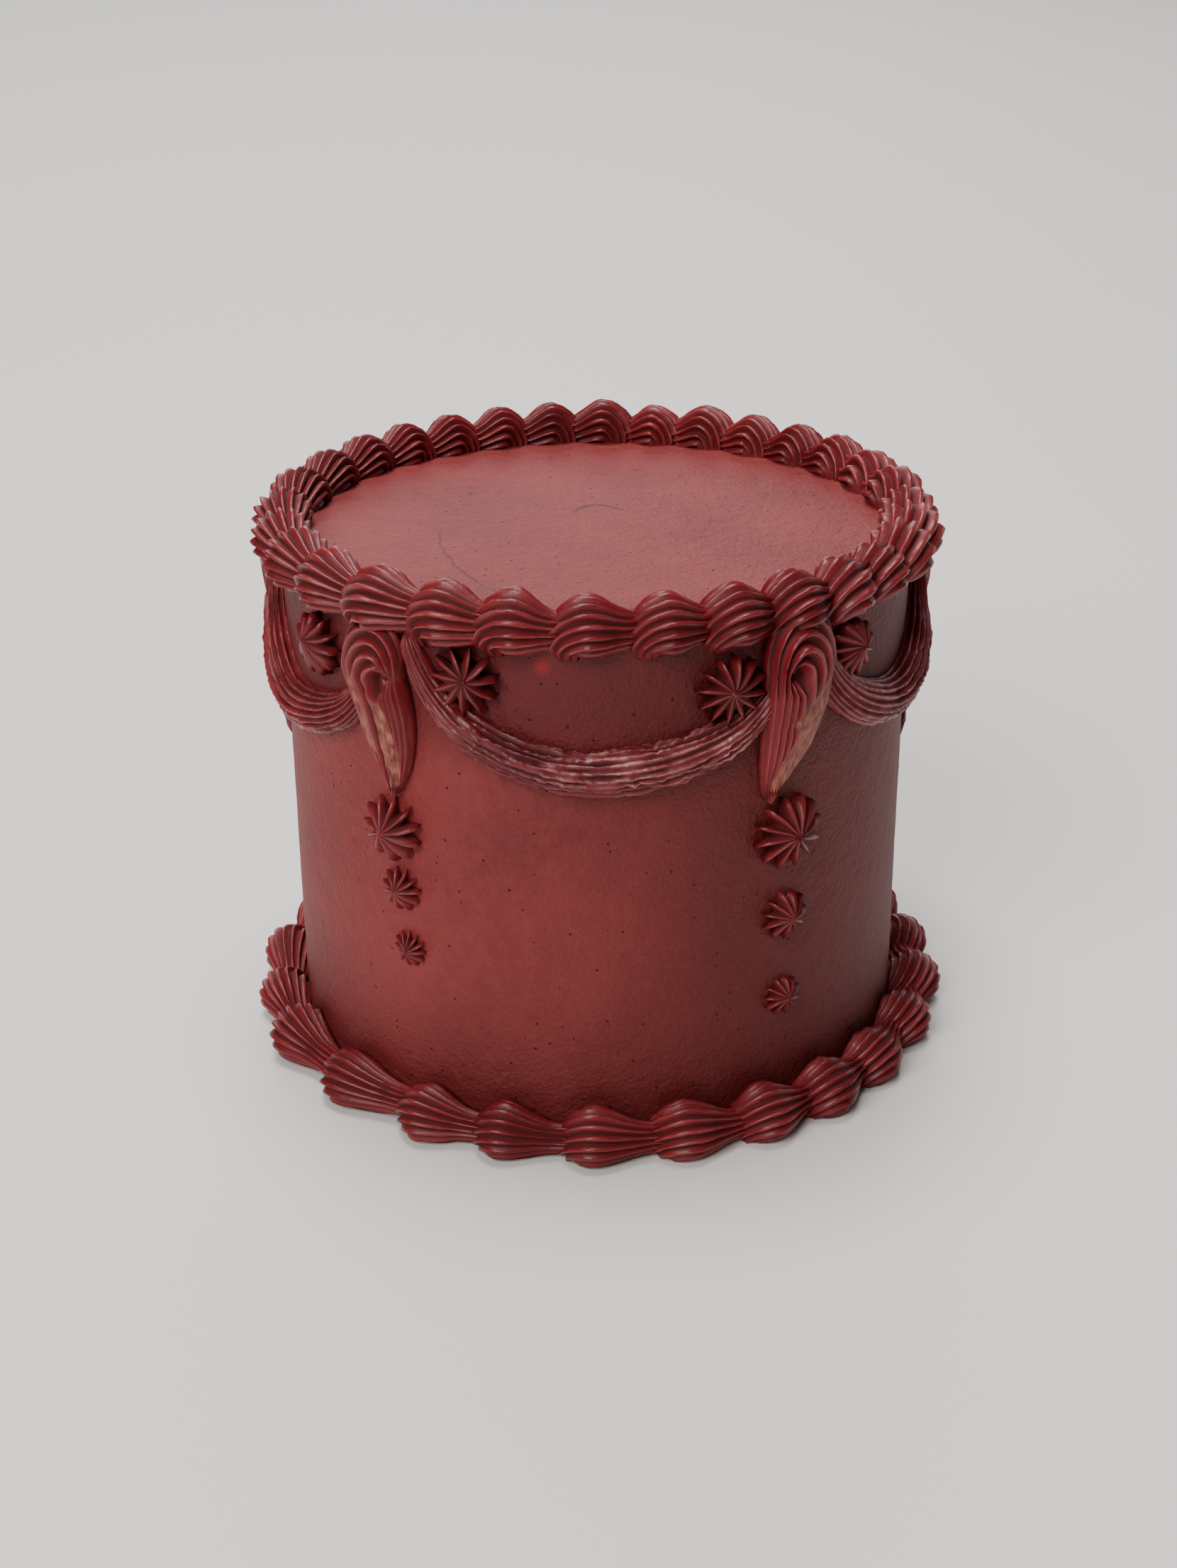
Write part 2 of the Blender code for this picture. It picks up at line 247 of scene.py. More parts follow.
def nozzle_mouth(name, radius, nozzle, centre, rotation, uneven=()):
    """The nozzle's star as a filled outline. Each crest is at the radius, less its own share
    of unevenness."""
    profile = tooth_profile(nozzle)
    count = nozzle.teeth * nozzle.points
    bpy.ops.mesh.primitive_circle_add(vertices=count, radius=radius, fill_type="NGON",
                                      location=centre, rotation=rotation)
    mouth = bpy.context.active_object
    mouth.name = name
    bpy.ops.object.transform_apply(location=True, rotation=True, scale=True)
    with editing(mouth):
        for step, reach in enumerate(profile[1:], 1):
            select_points(mouth, lambda index, place: index % nozzle.points == step)
            resize(reach, centre)
        for tooth, less in enumerate(uneven):
            start = nozzle.points * tooth - nozzle.points // 3
            near = {(start + index) % count for index in range(nozzle.points)}
            select_points(mouth, lambda index, place: index in near)
            resize(1.0 - less, centre)
    ridge = mouth.data.attributes.new("ridge", "FLOAT", "POINT")
    for index, value in enumerate(ridge.data):
        value.value = (profile[index % nozzle.points] - 1.0 + nozzle.depth) / nozzle.depth
    return mouth


def pipe(shift=(0.0, 0.0, 0.0), turn=0.0, grow=1.0, about=(0.0, 0.0, 0.0)):
    """Carries the selected outline one step on: moved, turned and resized about a point."""
    bpy.ops.mesh.extrude_region_move(TRANSFORM_OT_translate={"value": shift})
    if turn:
        rotate(-turn, about)
    resize(grow, about)


def tidy_mesh(piece):
    """Joins points that meet, and turns all faces outwards."""
    with editing(piece):
        bpy.ops.mesh.remove_doubles(threshold=WELD)
        bpy.ops.mesh.normals_make_consistent(inside=False)


# ---- shells

HEAD_START = math.radians(90.0)
HEAD_STEPS = 17
HEAD_LARGE = 1.05
# Where a head's crest first touches the bench, in tube radii behind its heel.
HEAD_AHEAD = {CRISP: 1.42, SOFT: 1.34}
# The rings under a head, from its heel's middle out, as shares of its first full one.
HEAD_UNDER = (0.50, 0.80, 0.94)
# How far the ridges' ends are rounded off, below what height in tube radii, with what bow.
HEAD_BLUNT, HEAD_BLUNT_HEIGHT, HEAD_BLUNT_BOW = 0.85, 0.6, 1.5
HEAD_TREMOR = (0.99, 1.01)
TAIL_STEPS = 9
TAIL_LENGTH = 16.0 * MM
TAIL_REACH = 12.0 * MM
TAIL_BOW = 0.85
# A tail's least width and least height, in tube radii.
TAIL_LEAST = {CRISP: (0.50, 0.68), SOFT: (0.36, 0.74)}
SHELL_MASTERS = 3
# How far shells differ in how much they are turned aside (degrees), and in size.
SHELL_YAWS = (-3.0, 3.0)
SHELL_SIZES = (0.96, 1.04)


def head_size(turn, ahead):
    """How large a head is where it still has so far to turn: its crest runs over a dome."""
    back, up = math.sin(turn) / (ahead / 2.0), math.cos(turn) / HEAD_LARGE
    return 1.0 / math.hypot(back, up)


def tail_size(along, least):
    """How wide or high the tail still is, from the head's size down to its least."""
    share = min(1.0, along / TAIL_REACH) ** TAIL_BOW
    return least + (HEAD_LARGE - least) * (1.0 + math.cos(math.pi * share)) / 2


def blunt_head(shell, tube, nozzle):
    """Rounds the ridges' ends off where a head curls under: a crest sinks to its grooves."""
    ridge = shell.data.attributes["ridge"].data
    for vert, crest in zip(shell.data.vertices, ridge):
        low = max(0.0, 1.0 - vert.co.z / (HEAD_BLUNT_HEIGHT * tube))
        if vert.co.x < 0.0 and low:
            sink = nozzle.depth * HEAD_BLUNT * crest.value * low ** HEAD_BLUNT_BOW
            vert.co.x *= 1.0 - sink
            vert.co.y *= 1.0 - sink
    shell.data.update()


def shell_master(name, tube, nozzle, seed):
    """One shell on the bench: it swells over its heel, then is drawn out to +x."""
    rng = random.Random(seed)
    heel = (0.0, 0.0, 0.0)
    shell = nozzle_mouth(name, tube, nozzle, (0.0, 0.0, tube), (0.0, math.pi / 2, 0.0))
    with editing(shell):
        rotate(HEAD_START, heel)
        size = head_size(HEAD_START, HEAD_AHEAD[nozzle])
        resize(size * HEAD_UNDER[0], heel)
        for before, after in zip(HEAD_UNDER, HEAD_UNDER[1:] + (1.0,)):
            pipe(grow=after / before, about=heel)
        for step in range(1, HEAD_STEPS + 1):
            wanted = head_size(HEAD_START * (1.0 - step / HEAD_STEPS), HEAD_AHEAD[nozzle])
            grow = wanted / size * rng.uniform(*HEAD_TREMOR)
            size = wanted
            pipe(turn=HEAD_START / HEAD_STEPS, grow=grow, about=heel)
        before = 0.0
        for step in range(1, TAIL_STEPS + 1):
            along = TAIL_LENGTH * step / TAIL_STEPS
            narrow, low = (tail_size(along, least) / tail_size(before, least)
                           for least in TAIL_LEAST[nozzle])
            pipe(shift=(along - before, 0.0, 0.0), grow=(1.0, narrow, low),
                 about=(along, 0.0, 0.0))
            before = along
    blunt_head(shell, tube, nozzle)
    tidy_mesh(shell)
    return shell


def shell_azimuths(spans):
    """Each shell's head and its pitch, evenly spaced between the given azimuths."""
    starts = [span[0] for span in spans] + [spans[0][0] + 360]
    for (start, count), after in zip(spans, starts[1:]):
        pitch = (after - start) / count
        for index in range(count):
            yield start + index * pitch, pitch


def shell_border(name, ring, spans, seed, yaw_of, soft_of):
    """A ring of shells, each a copy of one of a few masters, all joined."""
    rng = random.Random(seed)
    masters = {nozzle: [shell_master(f"shell_{index}", ring.tube, nozzle, seed + index)
                        for index in range(SHELL_MASTERS)] for nozzle in (CRISP, SOFT)}
    shells = []
    for azimuth, pitch in shell_azimuths(spans):
        master = rng.choice(masters[SOFT if soft_of(azimuth) else CRISP])
        shell = new_object(name + "_shell", master.data.copy())
        length = ring.radius * math.radians(pitch)
        yaw = math.radians(yaw_of(azimuth) + rng.uniform(*SHELL_YAWS))
        onto_ring(shell, ring, azimuth + pitch * SHELL_HEEL, yaw, length / SHELL_PITCH,
                  rng.uniform(*SHELL_SIZES))
        shells.append(shell)
    remove(masters[CRISP] + masters[SOFT])
    border = join(name, shells)
    roughen(border, name + "_slump", SHELL_SLUMP)
    roughen(border, name + "_drag", SHELL_DRAG)
    stand(border)
    return border


# ---- stars

STAR_TEETH = (11, 12)
STAR_POINTS = 6
STAR_DEPTH = 0.52
STAR_FATNESS = 0.45
# Rings of a star: how far out in radii, and how wide.
STAR_RINGS = ((0.05, 0.98), (0.16, 1.02), (0.30, 0.99), (0.43, 0.91), (0.54, 0.79), (0.63, 0.65),
              (0.70, 0.50), (0.76, 0.36), (0.81, 0.23), (0.86, 0.13), (0.92, 0.06), (0.98, 0.02))
STAR_SWIRL = math.radians(1.6)
STAR_FLATTER = 0.74
# How far a star's peak leans aside, in star radii.
STAR_SWAY = (-0.06, 0.06)
STAR_FOOT = 0.01
SIDE_STAR_FLATTER = 0.60
SIDE_STAR_LIFT = 1.6 * MM
# How far the peak of a star beside a drop leans away from the drop, and up.
SIDE_STAR_SWAY = 0.22
SIDE_STAR_NOD = 0.16
# How far a star beside a drop sits off its place, round the wall and up (mm), and its size.
SIDE_STAR_SHIFT = (0.0, 0.3, 1.0)
SIDE_STAR_SHIFTS = {"front_left_right": (0.6, 2.2, 1.0), "front_right_left": (-0.6, -0.8, 1.0),
                    "front_left_left": (3.0, 0.6, 0.9), "front_right_right": (-3.8, 1.6, 0.9)}


def star_master(name, teeth):
    """A star one metre in radius, its fins running up to a small peak."""
    facing = (math.pi / 2, 0.0, 0.0)
    mouth = Nozzle(teeth, STAR_POINTS, STAR_DEPTH, STAR_FATNESS)
    star = nozzle_mouth(name, 1.0, mouth, (0.0, 0.0, 0.0), facing)
    with editing(star):
        out_before, wide_before = 0.0, 1.0
        for out, wide in STAR_RINGS:
            grow = wide / wide_before
            pipe(shift=(0.0, out_before - out, 0.0), turn=STAR_SWIRL, grow=(grow, 1.0, grow),
                 about=(0.0, -out, 0.0))
            out_before, wide_before = out, wide
    tidy_mesh(star)
    return star


def star_on(node, name, masters, rng):
    """A star where its solid is, turned and squashed a little its own way."""
    low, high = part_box(node)
    radius = (high[2] - low[2]) / 2
    points = [vert.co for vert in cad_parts[node].data.vertices]
    middle = sum(points, Vector()) / len(points)
    azimuth = math.degrees(math.atan2(middle.x, -middle.y))
    star = new_object(name, rng.choice(masters).data.copy())
    turned = Matrix.Rotation(rng.uniform(0.0, math.tau), 3, "Y")
    sway = Vector((rng.uniform(*STAR_SWAY), 0.0, rng.uniform(*STAR_SWAY)))
    lift, flatter, along, up, large = 0.0, STAR_FLATTER, 0.0, 0.0, 1.0
    if node.startswith("side"):
        lift, flatter = SIDE_STAR_LIFT, SIDE_STAR_FLATTER
        along, up, large = SIDE_STAR_SHIFTS.get(node[len("side_star_"):], SIDE_STAR_SHIFT)
        aside = SIDE_STAR_SWAY if node.endswith("_right") else -SIDE_STAR_SWAY
        sway += Vector((aside, 0.0, SIDE_STAR_NOD))

    def shaped(spot):
        spot = turned @ spot
        spot += sway * min(1.0, -spot.y) ** 2
        spot.y *= flatter
        out = lift if spot.y < -STAR_FOOT else 0.0
        return spot * radius * large - Vector((-along * MM, out, -up * MM))
    reshape(star, shaped)
    onto_wall(star, azimuth, (low[2] + high[2]) / 2)
    roughen(star, name + "_slump", STAR_SLUMP)
    return star


# ---- drops

# Where a drop's ridges were wiped off: slanting strips from one height down to another (mm,
# below the pit), each between two shares of the half width at its top and two at its foot.
# A torn strip is left rough, and any other is smooth.
Strip = namedtuple("Strip", "torn top low left_top right_top left_low right_low")
# A drop's azimuth (degrees), its pit's height, half its head's width and how far it stands out
# (mm), how much taller its head is than round, how far its tip leans to +x (mm) and with what
# bow, where its pit lies between its edges, and where it was wiped.
Drop = namedtuple("Drop", "place azimuth head wide out tall lean bow pit wiped")
DROPS = (
    Drop("front_left", -40.2, 122.6, 9.8, 10.5, 1.35, 6.2, 0.7, 0.68,
         (Strip(1, 1.0, -20.0, -0.66, -0.24, -0.74, -0.22),
          Strip(1, -4.0, -29.0, 0.14, 0.66, 0.06, 0.86),
          Strip(0, 5.0, -30.0, 0.52, 1.1, 0.60, 1.1))),
    Drop("front_right", 35.2, 124.4, 10.6, 11.8, 1.55, -8.8, 2.2, -0.46,
         (Strip(1, 3.0, -13.0, 0.95, 1.2, -0.85, 1.2),
          Strip(1, -5.0, -30.0, -0.10, 1.2, -0.80, 1.2),
          Strip(0, -2.0, -31.0, -1.2, 0.35, -1.2, -0.55))),
    Drop("right", 102.0, 121.0, 10.8, 12.0, 1.35, 1.0, 1.5, -0.20, ()),
    Drop("back", 179.0, 122.0, 10.6, 12.0, 1.40, -2.0, 1.2, 0.30, ()),
    Drop("left", 258.0, 120.4, 10.8, 12.0, 1.35, 3.5, 0.8, -0.30, ()),
)
DROP_TIP = 92.4 * MM
DROP_RIDGES, DROP_DEPTH, DROP_FATNESS = 5, 0.25, 0.95
# A drop's section: how steeply its dome ends, how round it is, how much lower its edge is than
# its spine, and how wide its back is.
DOME_EDGE, DOME_ROUND, DOME_SINK = 0.97, 2.4, 0.28
BACK_WIDTH = 0.97
# How thin a leg is at its tip, and how its width runs down to that.
LEG_LEAST, LEG_TAPER, LEG_BOW = 0.02, 2.2, 0.8
# How far the pit's line comes back to the leg's middle on its way down.
PIT_RETURN = 0.4
# What the pit leaves of the spine's height, and how wide it is.
DROP_PIT = 0.30
DROP_PIT_RADIUS = 4.6 * MM
# What a ridge keeps of its height, for each half width of room that it has.
DROP_CALM = 1.6
# What wiping leaves of a drop's height, in a torn strip and in a smooth one, how much of its
# ridges a smooth one takes, and how softly a strip's sides and ends run out (a share, and mm).
TORN_KEEP, SMOOTH_KEEP, SMOOTH_SHARE = 0.83, 0.97, 0.55
STRIP_SOFT, STRIP_FADE = 0.10, 3.0
# The tone between groove and crest that a wiped ridge takes.
PLAIN_RIDGE = 0.55
# Points nearer to the wall than this are left on it.
DROP_RIM = 0.1 * MM
DROP_WIDTH_LEAST = 0.1 * MM
DROP_POINTS, DROP_ARC_STEPS, DROP_LEG_STEPS = 56, 26, 18
# How much flatter a drop is at its tip, and how far its head nods over.
DROP_FLATTER = 0.62
DROP_NOD = 1.5 * MM


def drop_dome(share):
    """How far a drop without ridges stands out, from its pit at 0 to its edge at 1."""
    rounded = math.sqrt(max(0.0, 1.0 - (share * DOME_EDGE) ** DOME_ROUND))
    return rounded * (1.0 - DOME_SINK * share)


def drop_height(share):
    """How far a drop stands out there, and how near to a crest it is."""
    phase = share * DROP_RIDGES
    groove = 1.0 - 2.0 * abs(phase - math.floor(phase) - 0.5)
    drop = ridge_drop(groove, DROP_FATNESS)
    return drop_dome(share) * (1.0 - DROP_DEPTH * drop), 1.0 - drop


def drop_profile(name):
    """Half of a drop's section, from its spine out to its edge, one metre by one metre."""
    shares = [index / DROP_POINTS for index in range(DROP_POINTS + 1)]
    points = [(share, -drop_height(share)[0], 0.0) for share in shares] + [(BACK_WIDTH, 0.0, 0.0)]
    mesh = bpy.data.meshes.new(name)
    mesh.from_pydata(points, [(index, index + 1) for index in range(len(points) - 1)], [])
    ridge = mesh.attributes.new("ridge", "FLOAT", "POINT")
    for share, value in zip(shares, ridge.data):
        value.value = drop_height(share)[1]
    return new_object(name, mesh)


def leg_size(share):
    """A leg's width in head radii, at a share of the way down to the tip."""
    return max(LEG_LEAST, 1.0 - share ** LEG_TAPER) ** LEG_BOW


class DropShape:
    """A drop's lines on the bench. Its pit is at height 0, and shares run down to its tip."""

    def __init__(self, row):
        self.row = row
        self.length = row.head * MM - DROP_TIP
        self.head = row.wide * MM

    def middle(self, share):
        return self.row.lean * MM * share ** self.row.bow

    def spine(self, share):
        """Where the pit's line is, which the ridges run round."""
        aside = self.row.pit * self.head * leg_size(share) * (1.0 - PIT_RETURN * share)
        return Vector((self.middle(share) + aside, 0.0, -self.length * share))

    def width(self, share, side):
        """From the spine to the drop's edge on one side, -1 or 1."""
        edge = self.middle(share) + side * self.head * leg_size(share)
        return abs(edge - self.spine(share).x)

    def out(self, share):
        return self.row.out * MM * (1.0 - DROP_FLATTER * share)

    def down(self, spot):
        return clamped(-spot.z / self.length)

    def across(self, spot):
        """Where a point is between the drop's edges, from -1 to 1."""
        share = self.down(spot)
        return (spot.x - self.middle(share)) / (self.head * leg_size(share))

    def dome(self, spot):
        """How far the drop would stand out there without ridges, and how much room they have."""
        share = self.down(spot)
        aside, above = spot.x - self.spine(share).x, max(0.0, spot.z)
        blend = (1.0 - math.cos(math.atan2(above, aside))) / 2
        wide = self.width(share, 1) * (1.0 - blend) + self.width(share, -1) * blend
        wide = max(wide, DROP_WIDTH_LEAST)
        dome = self.out(share) * drop_dome(min(1.0, math.hypot(aside, above) / wide))
        return dome, wide / (self.head * leg_size(share))

    def pressed(self, spot):
        """Where a point goes when the pit is pressed in and the head nods over."""
        pit = self.spine(0.0)
        near = min(1.0, math.hypot(spot.x - pit.x, spot.z - pit.z) / DROP_PIT_RADIUS)
        out = spot.y * (DROP_PIT + (1.0 - DROP_PIT) * math.sin(math.pi / 2 * near))
        high = clamped(1.0 + spot.z / self.head)
        nod = DROP_NOD * min(1.0, -out / (self.row.out * MM)) * high
        taller = self.row.tall if spot.z > 0 else 1.0
        return Vector((spot.x, out, spot.z * taller + nod))


def wiped_at(row, across, height):
    """How far a drop was wiped, and torn, at a place between its edges and a height (mm)."""
    wiped = torn = 0.0
    for strip in row.wiped:
        share = (strip.top - height) / (strip.top - strip.low)
        left = strip.left_top + (strip.left_low - strip.left_top) * share
        right = strip.right_top + (strip.right_low - strip.right_top) * share
        inside = min(across - left, right - across) / STRIP_SOFT
        between = min(strip.top - height, height - strip.low) / STRIP_FADE
        here = clamped(min(inside, between))
        wiped = max(wiped, here * (1.0 if strip.torn else SMOOTH_SHARE))
        torn = max(torn, here * strip.torn)
    return wiped, torn


def wipe(drop, shape):
    """Calms the ridges that are squeezed, takes them off where a drop was wiped, and notes
    where it was torn."""
    mark = drop.data.attributes.new("torn", "FLOAT", "POINT").data
    ridge = drop.data.attributes["ridge"].data
    for vert, value, crest in zip(drop.data.vertices, mark, ridge):
        wiped, torn = wiped_at(shape.row, shape.across(vert.co), vert.co.z / MM)
        value.value = torn
        if vert.co.y > -DROP_RIM:
            continue
        dome, room = shape.dome(vert.co)
        middle = -(1.0 - DROP_DEPTH / 2) * dome
        kept = min(1.0, DROP_CALM * room)
        vert.co.y = middle + (vert.co.y - middle) * kept
        crest.value = PLAIN_RIDGE + (crest.value - PLAIN_RIDGE) * kept * (1.0 - wiped)
        if wiped:
            keep = SMOOTH_KEEP + (TORN_KEEP - SMOOTH_KEEP) * torn / wiped
            vert.co.y += (-keep * dome - vert.co.y) * wiped
    drop.data.update()


def draw_leg(shape, side, shares):
    """Carries half a drop's section along a leg, through the given shares of its length."""
    for before, share in zip(shares, shares[1:]):
        grow = (shape.width(share, side) / shape.width(before, side),
                shape.out(share) / shape.out(before), 1.0)
        pipe(shift=shape.spine(share) - shape.spine(before), about=shape.spine(share), grow=grow)


def draw_head(shape):
    """Carries half a drop's section round the pit, from one leg to the other."""
    radius = shape.width(0.0, 1)
    for step in range(1, DROP_ARC_STEPS + 1):
        blend = (1.0 - math.cos(math.pi * step / DROP_ARC_STEPS)) / 2
        wanted = shape.width(0.0, 1) * (1.0 - blend) + shape.width(0.0, -1) * blend
        grow = wanted / radius
        radius = wanted
        pipe(turn=-math.pi / DROP_ARC_STEPS, grow=(grow, 1.0, grow), about=shape.spine(0.0))


def close_back():
    """Closes the open back of the mesh in edit mode with one face."""
    bpy.ops.mesh.select_all(action="SELECT")
    bpy.ops.mesh.remove_doubles(threshold=WELD)
    bpy.ops.mesh.select_all(action="DESELECT")
    bpy.ops.mesh.select_non_manifold()
    bpy.ops.mesh.edge_face_add()


def drop_piece(row):
    """A drop: half its section is drawn up from the tip, round the pit and down again."""
    shape = DropShape(row)
    name = "drop_piped_" + row.place
    drop = drop_profile(name)
    downwards = [step / DROP_LEG_STEPS for step in range(DROP_LEG_STEPS + 1)]
    upwards = [1.0 - share for share in downwards]
    with editing(drop):
        resize((shape.width(1.0, 1), shape.out(1.0), 1.0), (0.0, 0.0, 0.0))
        bpy.ops.transform.translate(value=shape.spine(1.0))
        draw_leg(shape, 1, upwards)
        draw_head(shape)
        draw_leg(shape, -1, downwards)
        close_back()
    tidy_mesh(drop)
    wipe(drop, shape)
    reshape(drop, shape.pressed)
    onto_wall(drop, row.azimuth, row.head * MM)
    roughen(drop, name + "_slump", DROP_SLUMP)
    roughen(drop, name + "_drag", DROP_DRAG)
    return drop


# ---- swags

# How far from the drops a swag starts and ends (degrees), how far its ends rise, how thick it
# is, how low it hangs (mm), and how worn it is.
Swag = namedtuple("Swag", "place left right rises radius low wear")
SWAGS = (Swag("front", 7.5, 4.0, (31.0, 20.0), 5.6, 104.3, 1.0),
         Swag("right", 2.5, 11.5, (29.0, 31.0), 6.4, 105.4, 0.3),
         Swag("back_right", 6.0, 3.0, (31.0, 19.0), 6.0, 104.3, 0.6),
         Swag("back_left", 3.5, 6.0, (21.0, 31.0), 6.0, 104.3, 0.6),
         Swag("left", 16.5, 2.0, (32.0, 15.0), 6.3, 104.3, 0.3))
# The share of an end's rise that comes as a steep hook, and the bows of the sweep and the hook.
SWAG_HOOK, SWEEP_BOW, HOOK_BOW = 0.35, 2, 8
# How far a swag's middle stands out from the wall, and how far its back goes into it.
SWAG_OUT = 1.0 * MM
SWAG_BACK = 0.6 * MM
SWAG_STEPS = 132
SWAG_TREMOR = (0.992, 1.008)
HEADING_STEP = 0.01
SWAG_NOZZLE = Nozzle(18, 6, 0.22, 0.9)
SWAG_UNEVEN = 0.08
# How much thinner a swag gets towards its ends, with what bow, and where its tips start.
SWAG_THINNING, THINNING_BOW = 0.55, 3.5
SWAG_END, TIP_LEAST = 0.97, 0.05
# How far a crest is worn down along its length, and a groove filled, in rope radii.
SWAG_WEAR, SWAG_FILL = 0.20, 0.20
# Patterns of wear: a noise's step along the rope, its step from ridge to ridge, and its shift.
SLOW_WEAR = (0.07, 3.7, 0.0)
QUICK_WEAR = (0.45, 5.3, 20.0)
FILLING = (0.08, 4.1, 40.0)
# How much is worn or filled where the noise is zero, and how far the slow noise moves that.
WORN_SHARE, WORN_SWING = 0.3, 1.3
FILLED_SHARE, FILLED_SWING = 0.1, 2.6
# How much of a crest's tone a filled groove takes, and the wear from which a swag's crests get
# the stronger painted highlight.
FILLED_TONE = 0.6
STRONG_HIGHLIGHT_WEAR = 0.5


def along_rope(pattern, step, line, seed):
    """Soft noise along one ridge or groove of a rope."""
    grain, spread, shift = pattern
    return noise.noise(Vector((step * grain, line * spread, seed + shift)))


def wear_crests(rope, centres, wear, seed):
    """Wears a rope's ridges along their length, each its own way, and fills its grooves here
    and there. The rope's points are one mouth after another."""
    count = SWAG_NOZZLE.teeth * SWAG_NOZZLE.points
    ridge = rope.data.attributes["ridge"].data
    for index, vert in enumerate(rope.data.vertices):
        step, place = divmod(index, count)
        tooth = round(place / SWAG_NOZZLE.points) % SWAG_NOZZLE.teeth
        groove = place // SWAG_NOZZLE.points
        slow = along_rope(SLOW_WEAR, step, tooth, seed)
        quick = along_rope(QUICK_WEAR, step, tooth, seed)
        closed = along_rope(FILLING, step, groove, seed)
        crest = ridge[index].value
        worn = crest * clamped(WORN_SHARE + WORN_SWING * slow + quick)
        filled = (1.0 - crest) * clamped(FILLED_SHARE + FILLED_SWING * closed)
        sunk = wear * (SWAG_WEAR * worn - SWAG_FILL * filled)
        vert.co = vert.co.lerp(centres[step], sunk)
        ridge[index].value = crest + FILLED_TONE * wear * filled
    rope.data.update()


def swag_thickness(share):
    """A swag's thickness at a share of the way from its middle to an end, -1 or 1."""
    tip = max(0.0, (abs(share) - SWAG_END) / (1.0 - SWAG_END))
    rounded = math.sqrt(max(TIP_LEAST, 1.0 - tip ** 2))
    return (1.0 - SWAG_THINNING * abs(share) ** THINNING_BOW) * rounded


def draw_swag(rope, spot, rng):
    """Carries the mouth along a swag's line, and returns the rope's centre at each step."""
    out = Vector((0.0, -SWAG_OUT, 0.0))

    def heading(share):
        ahead = spot(min(1.0, share + HEADING_STEP)) - spot(max(-1.0, share - HEADING_STEP))
        return math.atan2(ahead.z, ahead.x)

    with editing(rope):
        rotate(heading(-1.0), out)
        bpy.ops.transform.translate(value=spot(-1.0))
        before = -1.0
        centres = [spot(-1.0) + out]
        for step in range(1, SWAG_STEPS + 1):
            share = 2.0 * step / SWAG_STEPS - 1.0
            size = swag_thickness(share) / swag_thickness(before) * rng.uniform(*SWAG_TREMOR)
            pipe(shift=spot(share) - spot(before), turn=heading(before) - heading(share),
                 grow=size, about=spot(share) + out)
            centres.append(spot(share) + out)
            before = share
    return centres


def swag_piece(row, start, end, seed):
    """A rope of ridges between two azimuths, drawn on the bench from left to right."""
    name = "rope_" + row.place
    rng = random.Random(seed)
    reach = math.radians(end - start) / 2 * CAKE_RADIUS

    def spot(share):
        rise = row.rises[share > 0] * MM
        sweep = (1.0 - SWAG_HOOK) * share ** SWEEP_BOW
        return Vector((share * reach, 0.0, rise * (sweep + SWAG_HOOK * share ** HOOK_BOW)))

    def backed(place):
        return Vector((place.x, min(place.y, SWAG_BACK), place.z))

    uneven = [rng.uniform(0.0, SWAG_UNEVEN) for tooth in range(SWAG_NOZZLE.teeth)]
    rope = nozzle_mouth(name, row.radius * MM * swag_thickness(1.0), SWAG_NOZZLE,
                        (0.0, -SWAG_OUT, 0.0), (0.0, math.pi / 2, 0.0), uneven)
    wear_crests(rope, draw_swag(rope, spot, rng), row.wear, seed)
    reshape(rope, backed)
    tidy_mesh(rope)
    onto_wall(rope, (start + end) / 2, row.low * MM)
    roughen(rope, name + "_slump", SWAG_SLUMP)
    roughen(rope, name + "_crumbs", SWAG_CRUMBS)
    return rope


# ---- the smooth cake

BODY_SIDES, BODY_STEPS, TOP_STEPS = 288, 60, 44


def smooth_cake():
    """The iced cake, drawn up from its foot and closed in over the top."""
    bpy.ops.mesh.primitive_circle_add(vertices=BODY_SIDES, radius=CAKE_RADIUS, fill_type="NGON")
    cake = bpy.context.active_object
    cake.name = "iced_cake"
    straight = CAKE_HEIGHT - CAKE_EDGE
    with editing(cake):
        for step in range(BODY_STEPS):
            pipe(shift=(0.0, 0.0, straight / BODY_STEPS))
        for step in range(1, EDGE_STEPS + 1):
            turn = math.pi / 2 * step / EDGE_STEPS
            before = math.pi / 2 * (step - 1) / EDGE_STEPS
            narrow = CAKE_RADIUS - CAKE_EDGE * (1.0 - math.cos(turn))
            narrow /= CAKE_RADIUS - CAKE_EDGE * (1.0 - math.cos(before))
            pipe(shift=(0.0, 0.0, CAKE_EDGE * (math.sin(turn) - math.sin(before))),
                 grow=(narrow, narrow, 1.0), about=(0.0, 0.0, CAKE_HEIGHT))
        for step in range(1, TOP_STEPS):
            narrow = (TOP_STEPS - step) / (TOP_STEPS - step + 1)
            pipe(grow=(narrow, narrow, 1.0), about=(0.0, 0.0, CAKE_HEIGHT))
    roughen(cake, "spatula_waves", SPATULA_WAVES)
    roughen(cake, "spatula_ripples", SPATULA_RIPPLES)
    stand(cake)
    return cake


# ---- materials

# A colour as it is seen, from 0 to 255, and how much of it shows where it is strongest.
Coat = namedtuple("Coat", "colour share")

SMOOTH_TONES = ((102, 31, 33), (125, 45, 46))
SMOOTH_SPECKS = Coat((144, 60, 56), 0.35)
# Painted shade in the pits of the smooth icing.
PAINTED_PIT_SHADE = Coat((60, 16, 16), 1.0)
# Painted shadow of the top border, in the bays between it and the swags.
PAINTED_BAY_SHADOW = Coat((78, 18, 22), 0.72)
# Painted shade on the right side, which faces away from the light.
PAINTED_RIGHT_SHADE = Coat((76, 16, 16), 0.7)
# Painted shade at the foot, darker towards the bottom.
PAINTED_FOOT_SHADE = Coat((86, 24, 24), 0.55)
RED_SPOT = Coat((190, 40, 44), 0.3)
# Painted shade in the cracks of the top.
PAINTED_CRACK_SHADE = Coat((72, 14, 14), 0.9)
